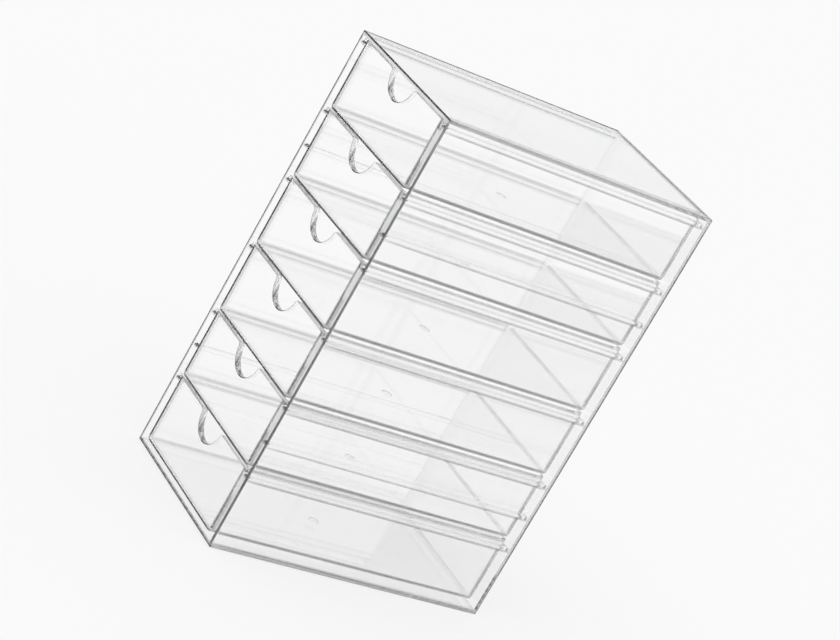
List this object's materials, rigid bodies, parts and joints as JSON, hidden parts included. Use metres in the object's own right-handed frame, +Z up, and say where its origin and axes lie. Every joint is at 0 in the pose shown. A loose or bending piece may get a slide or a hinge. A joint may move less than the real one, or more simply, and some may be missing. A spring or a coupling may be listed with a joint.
{
  "type": "desktop drawer organizer",
  "caption": "Clear plastic desk organizer: an open-fronted case with a stack of pull-out trays that hang on side rails, each with a half-round finger notch.",
  "frame": {"origin": "middle of the underside, where the case stands", "axes": "+Z up along the height, +X along the width, drawers open towards -Y"},
  "size_m": [0.104, 0.174, 0.25],
  "materials": {
    "case_clear": "clear moulded polystyrene sheet, polished",
    "drawer_clear": "clear moulded polystyrene tray, polished"
  },
  "bodies": {
    "case": {"left_side_panel": "case_clear", "right_side_panel": "case_clear", "top_panel": "case_clear", "bottom_panel": "case_clear", "back_panel": "case_clear"},
    "drawer_1": {"drawer_1": "drawer_clear"},
    "drawer_2": {"drawer_2": "drawer_clear"},
    "drawer_3": {"drawer_3": "drawer_clear"},
    "drawer_4": {"drawer_4": "drawer_clear"},
    "drawer_5": {"drawer_5": "drawer_clear"},
    "drawer_6": {"drawer_6": "drawer_clear"}
  },
  "joints": [
    {"name": "drawer_1_slide", "type": "slide", "parent": "case", "child": "drawer_1", "axis": [0, -1, 0], "range_m": [0, 0.15]},
    {"name": "drawer_2_slide", "type": "slide", "parent": "case", "child": "drawer_2", "axis": [0, -1, 0], "range_m": [0, 0.15]},
    {"name": "drawer_3_slide", "type": "slide", "parent": "case", "child": "drawer_3", "axis": [0, -1, 0], "range_m": [0, 0.15]},
    {"name": "drawer_4_slide", "type": "slide", "parent": "case", "child": "drawer_4", "axis": [0, -1, 0], "range_m": [0, 0.15]},
    {"name": "drawer_5_slide", "type": "slide", "parent": "case", "child": "drawer_5", "axis": [0, -1, 0], "range_m": [0, 0.15]},
    {"name": "drawer_6_slide", "type": "slide", "parent": "case", "child": "drawer_6", "axis": [0, -1, 0], "range_m": [0, 0.15]}
  ]
}
